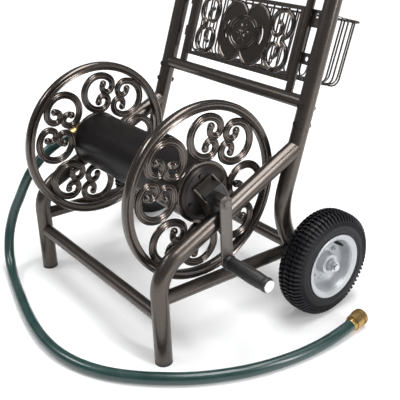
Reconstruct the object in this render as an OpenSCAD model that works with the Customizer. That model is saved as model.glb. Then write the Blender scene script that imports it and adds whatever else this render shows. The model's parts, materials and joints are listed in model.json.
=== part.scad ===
// Two-wheel garden hose reel cart: tube frame, cast reel, crank, basket and leader hose.
// Millimetres, +Z up. The reel turns about X, the crank is on +X, the wheels are at +Y.

/* [Frame] */
// Distance between the centre planes of the two side frames
frame_w = 432; // [420:2:500]
// Outside diameter of the main tubes
tube_d = 32; // [28:1:34]
// Wall of the frame tubes
tube_wall = 2; // [1.4:0.2:3]
// Outside diameter of crossbars and side rails
bar_d = 25; // [20:1:27]
// Distance of the front legs in front of the reel axis
leg_y = 128; // [110:2:150]
// Height of the corner where a front leg turns into its diagonal
leg_corner_z = 181; // [160:1:200]
// Rise angle of the diagonal tubes
diag_angle = 23.3; // [18:0.5:26]
// Centre-line radius of the front leg bend
leg_bend_r = 64; // [56:2:76]
// Height of the front crossbar
crossbar_z = 92; // [70:2:105]
// Height of the side rails at the front legs
rail_z = 127; // [115:1:145]
// Drop of the side rails towards the rear
rail_drop = 3.3; // [0:0.1:5]
// Thickness of the foot caps
cap_t = 6; // [4:1:12]

/* [Handle] */
// Lean of the handle from the vertical
lean = 19.1; // [10:0.5:25]
// Distance of the handle joint behind the reel axis
seam_y = 205.5; // [195:0.5:220]
// Height of the handle joint
seam_z = 352; // [345:1:380]
// Length of the handle from its joint to the push bar
handle_len = 745; // [620:5:900]
// Centre-line radius of the handle bends
handle_bend_r = 70; // [50:2:100]
// Outside diameter of the foam push grip
grip_bar_d = 38; // [36:1:46]
// Length of the foam push grip
grip_bar_len = 260; // [150:5:280]
// Height of the lower handle bar along the handle
low_bar_s = 48.7; // [44:0.5:60]

/* [Panel and basket] */
// Distance of the panel posts inside the side frames
post_gap = 51; // [41:1:66]
// Diameter of the panel posts
post_d = 16; // [12:1:20]
// Gap between lower bar centre and panel frame
panel_gap = 29.3; // [24:0.5:40]
// Height of the panel frame
panel_h = 143; // [120:1:160]
// Section of the square bars of the panel frame
panel_bar = 8; // [6:0.5:10]
// Depth of the basket
basket_d = 118; // [90:2:150]
// Height of the basket
basket_h = 128; // [100:2:140]
// Distance of the basket ends inside the side frames
basket_gap = 28; // [26:1:46]
// Diameter of the basket rim wire
rim_wire_d = 5; // [4:0.5:6]
// Diameter of the basket wires
wire_d = 3.6; // [3:0.2:4]

/* [Reel] */
// Height of the reel axis
reel_z = 278; // [266:1:290]
// Outside radius of the reel discs
disc_r = 165; // [140:1:178]
// Distance of the disc centre planes inside the side frames
disc_gap = 36.7; // [36.2:0.5:66.2]
// Width of the disc rims
disc_rim_w = 16.5; // [12:0.5:18]
// Height of the disc rims in the radial direction
disc_rim_h = 17; // [13:0.5:20]
// Thickness of the scroll work
scroll_t = 8; // [6:0.5:10]
// Radius of the drum
drum_r = 56; // [40:1:58]
// Radius of the hollow reel shaft
shaft_r = 12; // [10:0.5:13]
// Throw of the crank
crank_r = 113; // [95:1:125]
// Width of the crank arm
crank_w = 25; // [20:1:30]
// Thickness of the crank arm
crank_t = 5; // [4:0.5:7]
// Length of the crank grip
crank_grip_len = 100; // [80:1:120]
// Diameter of the crank grip
crank_grip_d = 27; // [24:1:32]

/* [Wheels] */
// Wheel radius
wheel_r = 103; // [95:1:110]
// Tyre width
tyre_w = 56; // [50:1:64]
// Distance of the wheel centre planes outside the side frames
wheel_gap = 69; // [65:1:84]
// Distance of the wheel axle behind the reel axis
axle_y = 204; // [196:1:215]
// Radius of the wheel axle
axle_r = 6.35; // [5:0.05:8]
// Radius of the rim flanges
rim_r = 63; // [58:1:68]

/* [Hose] */
// Outside diameter of the leader hose
hose_d = 21.5; // [18:0.5:21.5]
// Radius of the thread in the brass nut
thread_r = 13.2; // [12.5:0.1:13.5]
// Outer radius of the brass nut
nut_r = 16; // [15.4:0.1:16.2]

/* [Hidden] */
$fn = 48;
bronze = "#5a504a";
black = "#202023";
steel = "#b9bcc0";
brass = "#b8924a";
teal = "#2f5a58";
run_gap = 0.05;   // radial clearance of every running fit
cope_gap = 0.1;   // clearance where two tubes of one diameter are coped
big = 1000;
tube_r = tube_d / 2;
bar_r = bar_d / 2;
side_x = frame_w / 2;
disc_x = side_x - disc_gap;
wheel_x = side_x + wheel_gap;
post_x = side_x - post_gap;
basket_x = side_x - basket_gap;
post_r = post_d / 2;
rim_wire_r = rim_wire_d / 2;
wire_r = wire_d / 2;
hose_r = hose_d / 2;

// ---- side frame lines, all as [y, z] in the plane of a side frame ----
leg_foot = [-leg_y, cap_t];
leg_corner = [-leg_y, leg_corner_z];
diag_dir = [cos(diag_angle), sin(diag_angle)];
up_dir = [sin(lean), cos(lean)];
seam_pt = [seam_y, seam_z];
axle_pt = [axle_y, wheel_r];
low_dir_angle = 38;
low_dir = [-sin(low_dir_angle), cos(low_dir_angle)];
rear_bend_r = 130;
function cross2(a, b) = a[0] * b[1] - a[1] * b[0];
function meet(p, d, q, e) = p + d * (cross2(q - p, e) / cross2(d, e));
diag_end = meet(leg_corner, diag_dir, seam_pt, up_dir);
rear_corner = meet(axle_pt, low_dir, seam_pt, up_dir);
rail_dir = [cos(rail_drop), -sin(rail_drop)];
rail_start = [-leg_y, rail_z];
rail_end = meet(rail_start, rail_dir, axle_pt, low_dir);
// foot of the perpendicular from the reel axis onto the diagonal
axis_pt = [0, reel_z];
axis_along = (axis_pt - leg_corner) * diag_dir;
axis_foot = leg_corner + diag_dir * axis_along;
axis_rise = cross2(diag_dir, axis_pt - axis_foot);

// ---- handle stations, measured along the handle from its joint ----
panel_s = low_bar_s + panel_gap;
panel_mid = panel_s + panel_h / 2;
high_bar_s = panel_mid + panel_h / 2 + panel_gap;
basket_top = panel_s + panel_h - 4;
basket_low = basket_top - basket_h;
basket_z = -12;
clip_t = 3;
clip_hole_r = 4.5;
spigot_len = 55;
spigot_root = 4;    // how deep the spigot is sunk in the leg's thick end
spigot_gap = 0.1;
joint_gap = 0.8;   // line that stays open between leg and handle tube
frame_half = post_x - post_r;
panel_in = panel_h - 2 * panel_bar;

// ---- reel stations along X ----
plate_in = disc_x - scroll_t / 2;
plate_out = disc_x + scroll_t / 2;
rim_in = disc_r - disc_rim_h;
hub_plate_r = 58;
hub_cap_r = 51;
hub_cap_t = 10;
bolt_ring_r = 39;
web_t = 3;
web_x = side_x - tube_r - web_t - 1;
channel_w = 46;
channel_d = 26;
channel_cut = 21;   // fall of the channel's outer corners
channel_top = 70;
channel_low = 28;
bearing_out = web_x + web_t + 22;
crank_x = bearing_out + 19;
crank_out = crank_x + crank_t;
stub_r = 6;
spindle_r = 5;
sleeve_r = 10.5;
grip_x = crank_out + 3;
grip_end = grip_x + crank_grip_len + 2;

// ---- wheel stations along X ----
hub_in = wheel_x - 30;
hub_out = wheel_x + 17;
hub_r = 20;
bush_r = 12;
axle_end = hub_out + 17;
axle_tube_end = side_x + tube_r + 2;
washer_t = 2;

// ---- place of the whole model: box centre at the origin, floor at zero ----
push_pt = seam_pt + up_dir * handle_len;
shift_x = -(grip_end - axle_end) / 2;
shift_y = -(push_pt[0] + grip_bar_d / 2 - disc_r) / 2;
module placed() { translate([shift_x, shift_y, 0]) children(); }

// ---- shared shapes ----
function len3(v) = sqrt(v * v);
module rod(p, q, r) {
  v = q - p;
  translate(p) rotate([0, acos(v[2] / len3(v)), atan2(v[1], v[0])]) cylinder(r = r, h = len3(v));
}
// turns local x, y, z into y, z, x of the side plane
module in_side() { rotate([90, 0, 90]) children(); }
function unit(v) = v / sqrt(v * v);
function turn(a, b) = let (d = b - a) d > 180 ? d - 360 : d < -180 ? d + 360 : d;
// one bent rod in a plane: straight, arc of radius br, straight; thin collars close the two seams
collar_t = 0.6;
collar_rise = 0.08;
module bent(p0, p1, p2, br, r) {
  d1 = unit(p0 - p1);
  d2 = unit(p2 - p1);
  half = acos(d1 * d2) / 2;
  t = br / tan(half);
  c = p1 + unit(d1 + d2) * (br / sin(half));
  a1 = atan2((p1 + d1 * t - c)[1], (p1 + d1 * t - c)[0]);
  a2 = atan2((p1 + d2 * t - c)[1], (p1 + d2 * t - c)[0]);
  s = turn(a1, a2);
  flat_rod(p0, p1 + d1 * t, r);
  flat_rod(p1 + d2 * t, p2, r);
  for (d = [d1, d2]) flat_rod(p1 + d * (t - collar_t), p1 + d * (t + collar_t), r + collar_rise);
  translate([c[0], c[1], 0]) rotate([0, 0, s > 0 ? a1 : a2])
    rotate_extrude(angle = abs(s)) translate([br, 0]) circle(r = r);
}
module flat_rod(p, q, r) { rod([p[0], p[1], 0], [q[0], q[1], 0], r); }
module at_side() { translate([side_x, 0, 0]) in_side() children(); }
module along_x(x0, x1, r) { translate([x0, 0, 0]) rotate([0, 90, 0]) cylinder(r = r, h = x1 - x0); }
module at_axis() { translate([0, 0, reel_z]) children(); }
module on_handle() { translate([0, seam_y, seam_z]) rotate([90 - lean, 0, 0]) children(); }
module on_diag() {
  translate([0, axis_foot[0], axis_foot[1]]) rotate([diag_angle, 0, 0]) children();
}
module both_sides() { children(); mirror([1, 0, 0]) children(); }
module left() { mirror([1, 0, 0]) children(); }
module wheel_axis() { translate([0, axle_y, wheel_r]) children(); }

// ---- frame ----
module leg_solid(r, over) {
  at_side() bent([-leg_y, cap_t - over], leg_corner, diag_end, leg_bend_r, r);
}
module rear_line(r, over) {
  at_side() bent(axle_pt, rear_corner, seam_pt + up_dir * over, rear_bend_r, r);
}
module leg() {
  difference() {
    leg_solid(tube_r, 0);
    leg_solid(tube_r - tube_wall, 1);
    at_side() flat_rod(rear_corner, seam_pt + up_dir * big, tube_r + cope_gap);
  }
}
module rear_leg() {
  difference() {
    union() {
      rear_line(tube_r, 0);
      at_side() flat_rod(seam_pt - up_dir * spigot_root, seam_pt + up_dir * spigot_len,
        tube_r - tube_wall - spigot_gap);
    }
    rear_line(tube_r - 2 * tube_wall - spigot_gap, spigot_len + 1);
    wheel_axis() along_x(0, big, bar_r);
    on_handle() bolt_holes();
  }
}
module rail() {
  difference() {
    at_side() flat_rod(rail_start, rail_end, bar_r);
    at_side() flat_rod(rail_start - rail_dir, rail_end, bar_r - tube_wall);
    at_side() flat_rod([-leg_y, 0], leg_corner, tube_r);
    at_side() flat_rod(axle_pt, rear_corner, tube_r);
    wheel_axis() along_x(0, big, bar_r);
  }
}
module front_leg_right() { color(bronze) placed() leg(); }
module front_leg_left() { color(bronze) placed() left() leg(); }
module rear_leg_right() { color(bronze) placed() rear_leg(); }
module rear_leg_left() { color(bronze) placed() left() rear_leg(); }
module side_rail_right() { color(bronze) placed() rail(); }
module side_rail_left() { color(bronze) placed() left() rail(); }
module leg_caps() {
  color(black) placed() both_sides() translate([side_x, -leg_y, 0]) {
    cylinder(r = tube_r, h = cap_t);
    translate([0, 0, cap_t]) cylinder(r = tube_r - tube_wall - cope_gap, h = 12);
  }
}
module front_crossbar() {
  color(bronze) placed() difference() {
    translate([0, -leg_y, crossbar_z]) along_x(-side_x, side_x, bar_r);
    translate([0, -leg_y, crossbar_z]) along_x(-side_x - 1, side_x + 1, bar_r - tube_wall);
    both_sides() translate([side_x, -leg_y, 0]) cylinder(r = tube_r, h = leg_corner_z);
  }
}
module axle_tube() {
  color(bronze) placed() wheel_axis() difference() {
    along_x(-axle_tube_end, axle_tube_end, bar_r);
    along_x(-axle_tube_end - 1, axle_tube_end + 1, axle_r + cope_gap);
  }
}

// ---- handle ----
bolt_r = 3;
bolt_s = [9, spigot_len - 13];
module bolt_holes() {
  for (s = bolt_s) translate([side_x, s, 0]) cylinder(r = bolt_r, h = 2 * tube_d, center = true);
}
module u_path(r, over) {
  top = handle_len;
  bx = side_x - handle_bend_r;
  both_sides() {
    rod([side_x, -over, 0], [side_x, top - handle_bend_r, 0], r);
    translate([bx, top - handle_bend_r, 0])
      rotate_extrude(angle = 90) translate([handle_bend_r, 0]) circle(r = r);
  }
  rod([-bx, top, 0], [bx, top, 0], r);
}
module handle_tube() {
  color(bronze) placed() on_handle() difference() {
    u_path(tube_r, -joint_gap);
    u_path(tube_r - tube_wall, 1);
    both_sides() bolt_holes();
  }
}
module handle_grip() {
  color(black) placed() on_handle() translate([0, handle_len, 0]) difference() {
    along_x(-grip_bar_len / 2, grip_bar_len / 2, grip_bar_d / 2);
    along_x(-grip_bar_len, grip_bar_len, tube_r);
  }
}
module cross_tube(s) {
  difference() {
    translate([0, s, 0]) along_x(-side_x, side_x, bar_r);
    translate([0, s, 0]) along_x(-side_x - 1, side_x + 1, bar_r - tube_wall);
    both_sides() rod([side_x, 0, 0], [side_x, handle_len, 0], tube_r);
  }
}
module handle_lower_bar() { color(bronze) placed() on_handle() cross_tube(low_bar_s); }
module handle_upper_bar() { color(bronze) placed() on_handle() cross_tube(high_bar_s); }
module handle_bolts() {
  color(steel) placed() on_handle() both_sides() for (s = bolt_s) translate([side_x, s, 0]) {
    cylinder(r = bolt_r, h = tube_d + 3, center = true);
    translate([0, 0, tube_r + 0.4]) cylinder(r = 5, h = 3);
    translate([0, 0, -tube_r - 5.4]) cylinder(r = 6, h = 5, $fn = 6);
  }
}

// ---- panel ----
module panel_posts() {
  color(bronze) placed() on_handle() both_sides() difference() {
    rod([post_x, low_bar_s, 0], [post_x, high_bar_s, 0], post_r);
    rod([post_x, low_bar_s - 1, 0], [post_x, high_bar_s + 1, 0], post_r - 1.5);
    translate([0, low_bar_s, 0]) along_x(0, side_x, bar_r);
    translate([0, high_bar_s, 0]) along_x(0, side_x, bar_r);
  }
}
module panel_frame() {
  color(bronze) placed() on_handle() translate([0, panel_mid, 0]) difference() {
    cube([2 * frame_half, panel_h, panel_bar], center = true);
    cube([2 * (frame_half - panel_bar), panel_in, 2 * panel_bar], center = true);
  }
}
// points of a spiral band: arcs is a list of [radius, sweep, steps], heading starts at h
function arc_pts(p, h, arcs, i = 0, out = []) = i == len(arcs) ? out :
  let (r = arcs[i][0], sw = arcs[i][1], n = arcs[i][2],
    c = p + [sin(h), -cos(h)] * r,
    more = [for (k = [1:n]) [c + [-sin(h - sw * k / n), cos(h - sw * k / n)] * r, h - sw * k / n]])
  arc_pts(more[n - 1][0], h - sw, arcs, i + 1, concat(out, more));
module scroll_2d(size, w0, w1, arcs) {
  half = concat([[[0, 0], 90]], arc_pts([0, 0], 90, arcs));
  n = len(half) - 1;
  function wid(k) = (w0 + (w1 - w0) * k / n) / 2;
  function off(k, side) = half[k][0] + [-sin(half[k][1]), cos(half[k][1])] * side * wid(k);
  up = concat([for (k = [0:n]) off(k, 1)], [for (k = [n:-1:0]) off(k, -1)]);
  scale(size) for (m = [0, 1]) mirror([0, m]) {
    polygon(up);
    translate(half[n][0]) circle(r = w1 * 0.72, $fn = 24);
  }
}
c_arcs = [[38, 112, 8], [19.5, 85, 6], [13, 150, 8]];
c_back = 69.5;   // distance of the back of a scroll from the middle of its pair
function oval(a, b, n) = [for (k = [0:n - 1]) [a * cos(360 * k / n), b * sin(360 * k / n)]];
lobe_a = 39;
lobe_x = 37;
slot_x = 55;
module medallion_2d() {
  for (m = [-1, 1]) translate([m * lobe_x, 0]) polygon(oval(lobe_a, panel_in / 2 - 0.5, 48));
}
module slot_2d() {
  difference() {
    polygon(oval(slot_x + 10, 50, 48));
    polygon(oval(slot_x + 1, 46, 48));
    for (m = [-1, 1]) translate([-big / 2, m * 19 + (m > 0 ? 0 : -big)]) square([big, big]);
  }
}
side_scroll_x = 112;
side_scroll_k = 0.62;
module side_scrolls_2d() {
  for (m = [0, 1], n = [0, 1]) mirror([m, 0]) mirror([0, n])
    translate([side_scroll_x, panel_in / 2 - 2]) rotate(-90)
    translate([2, 0]) scroll_2d(side_scroll_k, 11, 8, c_arcs);
}
module panel_casting() {
  color(bronze) placed() on_handle() translate([0, panel_mid, 0]) {
    difference() {
      translate([0, 0, -3]) linear_extrude(6) difference() {
        medallion_2d();
        slot_2d();
      }
      translate([0, 0, 2]) linear_extrude(3) difference() {
        polygon(oval(53, 34, 48));
        polygon(oval(48, 29, 48));
      }
    }
    translate([0, 0, -3]) linear_extrude(6) intersection() {
      difference() {
        side_scrolls_2d();
        medallion_2d();
      }
      square([2 * (frame_half - panel_bar), panel_in], center = true);
    }
  }
}

// ---- basket ----
basket_far = basket_z - basket_d;
x_step = 2 * basket_x / 18;
z_step = basket_d / 6;
wire_xs = [for (k = [1:17]) -basket_x + k * x_step];
wire_zs = [for (k = [1:5]) basket_z - k * z_step];
module basket_rim() {
  c = 14;
  r = rim_wire_r;
  color(black) placed() on_handle() translate([0, basket_top, 0]) {
    for (z = [basket_z, basket_far]) translate([0, 0, z]) along_x(-basket_x + c, basket_x - c, r);
    for (m = [-1, 1]) translate([m * basket_x, 0, basket_far + c]) cylinder(r = r, h = basket_d - 2 * c);
    for (a = [[1, basket_z - c, 0], [1, basket_far + c, 90], [-1, basket_far + c, 180],
      [-1, basket_z - c, 270]])
      translate([a[0] * (basket_x - c), 0, a[1]]) rotate([90, 0, 0]) rotate([0, 0, -a[2]])
      rotate_extrude(angle = 90) translate([c, 0]) circle(r = r);
  }
}
module wires_up(z) {
  for (x = wire_xs) rod([x, basket_low + wire_r, z], [x, basket_top - rim_wire_r, z], wire_r);
}
module basket_front_wires() { color(black) placed() on_handle() wires_up(basket_z); }
module basket_back_wires() { color(black) placed() on_handle() wires_up(basket_far); }
module end_wires() {
  for (z = wire_zs) rod([basket_x, basket_low - wire_d - wire_r, z],
    [basket_x, basket_top - rim_wire_r, z], wire_r);
}
module basket_left_wires() { color(black) placed() on_handle() left() end_wires(); }
module basket_right_wires() { color(black) placed() on_handle() end_wires(); }
module basket_floor_wires() {
  color(black) placed() on_handle() {
    for (x = wire_xs) rod([x, basket_low, basket_far - wire_r], [x, basket_low, basket_z + wire_r],
      wire_r);
    for (z = wire_zs) rod([wire_r - basket_x, basket_low - wire_d, z],
      [basket_x - wire_r, basket_low - wire_d, z], wire_r);
  }
}
clip_z = basket_z + rim_wire_r;
clip_end = basket_x + rim_wire_r;
module basket_clips() {
  color(black) placed() on_handle() both_sides() for (s = [[basket_top - 31, 33], [panel_s + 38, 22]])
    difference() {
      translate([post_x, s[0], clip_z]) cube([clip_end - post_x, s[1], clip_t]);
      translate([(post_x + post_r + clip_end) / 2, s[0] + s[1] - 11, 0])
        cylinder(r = clip_hole_r, h = big, center = true);
      rod([post_x, 0, 0], [post_x, handle_len, 0], post_r);
    }
}

// ---- bearings ----
module bracket() {
  difference() {
    on_diag() {
      translate([web_x, -channel_w / 2, -channel_low]) cube([web_t, channel_w, channel_low + channel_top]);
      for (u = [-channel_w / 2, channel_w / 2 - web_t]) translate([web_x, u + web_t, 0])
        rotate([90, 0, 0]) linear_extrude(web_t) polygon([[0, 0], [channel_d, 0],
          [channel_d, channel_top - channel_cut], [web_t, channel_top], [0, channel_top]]);
    }
    on_diag() translate([side_x, -big, 0]) rotate([-90, 0, 0]) cylinder(r = tube_r, h = 2 * big);
    at_axis() along_x(0, big, shaft_r + 2);
  }
}
module bearing() {
  difference() {
    on_diag() translate([web_x + web_t, -channel_w / 2 + web_t, 0])
      cube([bearing_out - web_x - web_t, channel_w - 2 * web_t, axis_rise + 22]);
    on_diag() translate([side_x, -big, 0]) rotate([-90, 0, 0])
      cylinder(r = tube_r + cope_gap, h = 2 * big);
    at_axis() along_x(0, big, shaft_r + run_gap);
    on_diag() translate([0, -big / 2, -big]) cube([big, big, big]);
  }
}
module bracket_right() { color(bronze) placed() bracket(); }
module bracket_left() { color(bronze) placed() left() bracket(); }
module bearing_right() { color(black) placed() bearing(); }
module bearing_left() { color(black) placed() left() bearing(); }

// ---- wheel axle ----
module wheel_axle() { color(steel) placed() wheel_axis() along_x(-axle_end, axle_end, axle_r); }
module axle_spacers() {
  color(steel) placed() wheel_axis() both_sides() {
    difference() {
      along_x(axle_tube_end, hub_in - washer_t, 11);
      along_x(0, big, axle_r);
    }
    difference() {
      along_x(hub_out + 1, hub_out + 1 + washer_t, 11);
      along_x(0, big, axle_r);
    }
  }
}
module axle_nuts() {
  color(steel) placed() wheel_axis() both_sides() difference() {
    translate([hub_out + 1 + washer_t, 0, 0]) rotate([0, 90, 0]) cylinder(r = 11, h = 9, $fn = 6);
    along_x(0, big, axle_r);
  }
}

// ---- water inlet on the far side ----
inlet_x = -bearing_out - 27;
inlet_tilt = 12;
inlet_len = 36;
bore_r = 8;
way_r = 5.5;
module in_branch() { translate([inlet_x, 0, reel_z]) rotate([90 + inlet_tilt, 0, 0]) children(); }
module inlet_elbow() {
  color(brass) placed() difference() {
    union() {
      at_axis() along_x(inlet_x - 14, -bearing_out, 15);
      at_axis() along_x(-bearing_out - 1, -bearing_out + 32, bore_r - 0.5);
      in_branch() cylinder(r = thread_r, h = inlet_len - 8);
    }
    at_axis() along_x(inlet_x - 3, 0, way_r - 0.6);
    in_branch() cylinder(r = way_r, h = big);
    at_axis() translate([-bearing_out + 20, 0, 0]) seal_ring();
  }
}
module seal_ring() {
  rotate([0, 90, 0]) difference() {
    cylinder(r = bore_r - run_gap, h = 3);
    translate([0, 0, -1]) cylinder(r = bore_r - 2, h = 5);
  }
}
module inlet_seal() { color(black) placed() at_axis() translate([-bearing_out + 20, 0, 0]) seal_ring(); }
module hose_inlet_nut() {
  color(brass) placed() in_branch() difference() {
    translate([0, 0, 17]) cylinder(r = nut_r, h = inlet_len - 17);
    translate([0, 0, 16]) cylinder(r = thread_r, h = inlet_len - 17);
    cylinder(r = way_r, h = big);
  }
}

// ---- leader hose: round points chosen along its route ----
hose_pts = [[-248, -35.3, 270.5], [-249, -60, 263.5], [-251, -85, 251], [-255, -108, 232],
  [-260, -128, 209], [-267, -142, 182], [-275, -153, 154], [-283, -165, 125], [-286, -175, 98],
  [-284, -184, 74], [-276, -192, 52], [-262, -200, 33], [-240, -208, 19], [-212, -217, 12],
  [-180, -226, 11], [-130, -239, 11], [-75, -252, 11], [-20, -262, 11], [35, -267, 11],
  [90, -264, 11], [140, -251, 11], [185, -229, 11], [225, -199, 11], [262, -163, 11],
  [295, -123, 11], [322, -80, 11], [345, -32, 11], [361, 18, 11], [371, 68, 11], [376, 115, 12.5],
  [377, 150, 15.3], [375, 180, 16.4]];
hose_sides = 10;
end_turn = 8;
end_pt = hose_pts[len(hose_pts) - 1];
function ring_dir(k) = k == 0 ? unit([0, -cos(inlet_tilt), -sin(inlet_tilt)])
  : k == len(hose_pts) - 1 ? [-sin(end_turn), cos(end_turn), 0]
  : unit(unit(hose_pts[k + 1] - hose_pts[k]) + unit(hose_pts[k] - hose_pts[k - 1]));
function ring_side(k) = unit(cross(ring_dir(k), [0.3, 0.1, 1]));
function ring(k) = let (d = ring_dir(k), a = ring_side(k), b = cross(d, a))
  [for (j = [0:hose_sides - 1]) hose_pts[k] + hose_r * (a * cos(360 * j / hose_sides)
    + b * sin(360 * j / hose_sides))];
module hose() {
  m = len(hose_pts);
  n = hose_sides;
  pts = [for (k = [0:m - 1]) for (p = ring(k)) p];
  walls = [for (k = [0:m - 2]) for (j = [0:n - 1])
    [k * n + j, (k + 1) * n + j, (k + 1) * n + (j + 1) % n, k * n + (j + 1) % n]];
  ends = [[for (j = [0:n - 1]) j], [for (j = [n - 1:-1:0]) (m - 1) * n + j]];
  color(teal) placed() polyhedron(points = pts, faces = concat(walls, ends), convexity = 6);
}

// ---- brass coupling at the free end; local z runs out of the hose ----
module at_end() { translate(end_pt) rotate([0, 0, end_turn]) rotate([-90, 0, 0]) children(); }
collar_r = 13.5;
tail_r = 12.3;
seat_r = thread_r + 0.6;
module ring_of(profile) { rotate_extrude() polygon(profile); }
module coupling_tail() {
  color(brass) placed() at_end() ring_of([[6, 0], [11.2, 0], [tail_r, 8], [tail_r, 13.2],
    [collar_r, 13.2], [collar_r, 16.6], [6, 16.6]]);
}
module coupling_washer() {
  color(black) placed() at_end() ring_of([[7, 17.4], [seat_r, 17.4], [seat_r, 20], [7, 20]]);
}
module coupling_nut() {
  color(brass) placed() at_end() ring_of([[tail_r + run_gap, 8.5], [14, 8.5], [15, 22], [14.6, 24],
    [nut_r, 25], [nut_r, 33], [15.3, 34], [15.3, 38], [thread_r, 38], [thread_r, 20],
    [seat_r, 20], [seat_r, 12.9], [tail_r + run_gap, 12.9]]);
}

// ---- reel ----
module disc_rim() {
  w = disc_rim_w / 2;
  r = disc_r;
  h = disc_rim_h;
  at_axis() translate([disc_x, 0, 0]) rotate([0, 90, 0]) ring_of([[r - h, -w * 0.7], [r - h + 3, -w],
    [r - h + 6, -w * 0.7], [r - 6, -w * 0.7], [r - 3, -w], [r, -w * 0.6], [r, w * 0.6], [r - 3, w],
    [r - 6, w * 0.7], [r - h + 6, w * 0.7], [r - h + 3, w], [r - h, w * 0.7]]);
}
pair_r = 97;
pair_phase = 62.5;
pair_tilt = 6;
module scroll_plate_2d() {
  for (k = [0:3]) rotate(pair_phase + 90 * k) translate([pair_r, 0]) rotate(pair_tilt - 90)
    for (m = [0, 1]) mirror([m, 0]) translate([-c_back, 0]) scroll_2d(1, 13, 9.5, c_arcs);
  circle(r = hub_plate_r);
}
module disc() {
  difference() {
    union() {
      disc_rim();
      at_axis() translate([plate_in, 0, 0]) in_side() linear_extrude(scroll_t) intersection() {
        scroll_plate_2d();
        circle(r = rim_in + 2);
      }
    }
    at_axis() along_x(0, big, shaft_r);
    at_axis() bolt_circle() along_x(0, big, 2.5);
  }
}
module bolt_circle() {
  for (k = [0:3]) rotate([17 + 90 * k, 0, 0]) translate([0, 0, bolt_ring_r]) children();
}
module reel_disc_right() { color(bronze) placed() disc(); }
module reel_disc_left() { color(bronze) placed() left() disc(); }
outlet_x = -118;
outlet_len = 20;
neck_r = 9;
module reel_drum() {
  color(black) placed() at_axis() difference() {
    along_x(-plate_in, plate_in, drum_r);
    along_x(-plate_in - 1, plate_in + 1, drum_r - 2);
    outlet_place() cylinder(r = neck_r, h = big);
  }
}
module reel_shaft() {
  color(steel) placed() at_axis() difference() {
    union() {
      along_x(-bearing_out + 4, crank_x, shaft_r);
      along_x(crank_x - 1, crank_out + 5, stub_r);
    }
    along_x(-bearing_out, outlet_x + 20, bore_r);
    outlet_place() cylinder(r = 7, h = big);
  }
}
module hub_cap() {
  at_axis() difference() {
    translate([plate_out, 0, 0]) rotate([0, 90, 0])
      ring_of([[shaft_r, 0], [hub_cap_r, 0], [hub_cap_r, 3], [hub_cap_r - 4, hub_cap_t - 3],
        [bolt_ring_r - 8, hub_cap_t], [shaft_r, hub_cap_t]]);
    bolt_circle() along_x(0, big, 2.5);
  }
}
module hub_cap_right() { color(black) placed() hub_cap(); }
module hub_cap_left() { color(black) placed() left() hub_cap(); }
module hub_bolts() {
  color(steel) placed() at_axis() both_sides() bolt_circle() {
    along_x(plate_in - 3, plate_out + hub_cap_t, 2.5);
    along_x(plate_out + hub_cap_t - 0.5, plate_out + hub_cap_t + 1.5, 4.5);
  }
}
// male hose fitting that stands on the rear underside of the drum
module outlet_place() { translate([outlet_x, 0, 0]) rotate([-125, 0, 0]) children(); }
module drum_outlet() {
  color(brass) placed() at_axis() outlet_place() difference() {
    union() {
      translate([0, 0, shaft_r + 1]) cylinder(r = neck_r, h = drum_r - shaft_r);
      translate([0, 0, drum_r]) cylinder(r = thread_r, h = outlet_len);
    }
    cylinder(r = 7, h = big);
  }
}

// ---- crank ----
module crank_arm() {
  color("#77706a") placed() difference() {
    union() {
      translate([crank_x, -crank_w / 2, reel_z - crank_r]) cube([crank_t, crank_w, crank_r]);
      at_axis() along_x(crank_x, crank_out, crank_w / 2);
      translate([0, 0, reel_z - crank_r]) along_x(crank_x, crank_out, crank_w / 2);
    }
    at_axis() along_x(0, big, stub_r);
    translate([0, 0, reel_z - crank_r]) along_x(0, big, spindle_r);
  }
}
module crank_nut() {
  color("#77706a") placed() at_axis() difference() {
    along_x(crank_out, crank_out + 4, 9.5);
    along_x(0, crank_out + 3, stub_r);
    along_x(0, crank_out + 5, stub_r);
  }
}
module at_grip() { translate([0, 0, reel_z - crank_r]) children(); }
module crank_spindle() {
  color(steel) placed() at_grip() {
    along_x(crank_x - 4, crank_x, 8);
    along_x(crank_x - 1, grip_end - 6, spindle_r);
    along_x(crank_out, crank_out + 2, 8);
  }
}
module crank_grip() {
  color(black) placed() at_grip() difference() {
    along_x(grip_x, grip_end - 2, crank_grip_d / 2);
    along_x(0, big, sleeve_r);
  }
}
module grip_sleeve() {
  color(steel) placed() at_grip() difference() {
    along_x(grip_x, grip_end, sleeve_r);
    along_x(0, grip_end - 5, spindle_r + run_gap);
  }
}

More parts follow.
